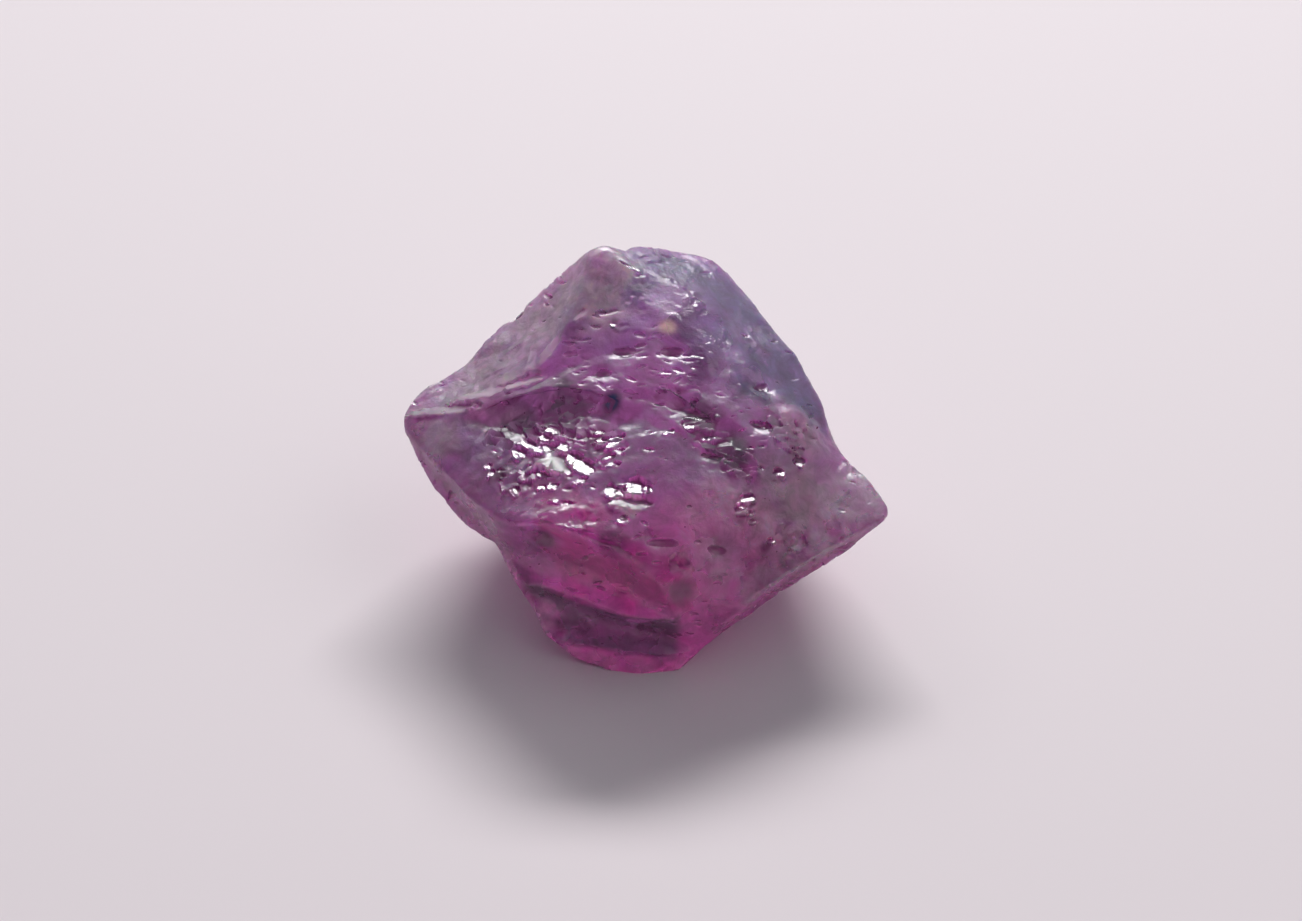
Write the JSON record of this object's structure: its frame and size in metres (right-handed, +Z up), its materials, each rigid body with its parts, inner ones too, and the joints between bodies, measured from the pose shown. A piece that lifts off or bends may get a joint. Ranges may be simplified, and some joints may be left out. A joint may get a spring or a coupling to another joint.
{
  "type": "rough sapphire",
  "caption": "Rough translucent purple sapphire: one lopsided wedge-shaped crystal fragment with broken, etched faces, standing on a flat worn foot.",
  "frame": {"origin": "middle of the bounding box's base, on the plane of the worn foot", "axes": "+Z up from the foot, +X along the length from the left tip to the right tip, -Y out of the steep front wall"},
  "size_m": [0.01, 0.008, 0.0053],
  "materials": {
    "corundum": "purple translucent corundum, glassy on the broken and etched faces, never cut or polished"
  },
  "bodies": {
    "root": {"sapphire": "corundum"}
  },
  "joints": []
}
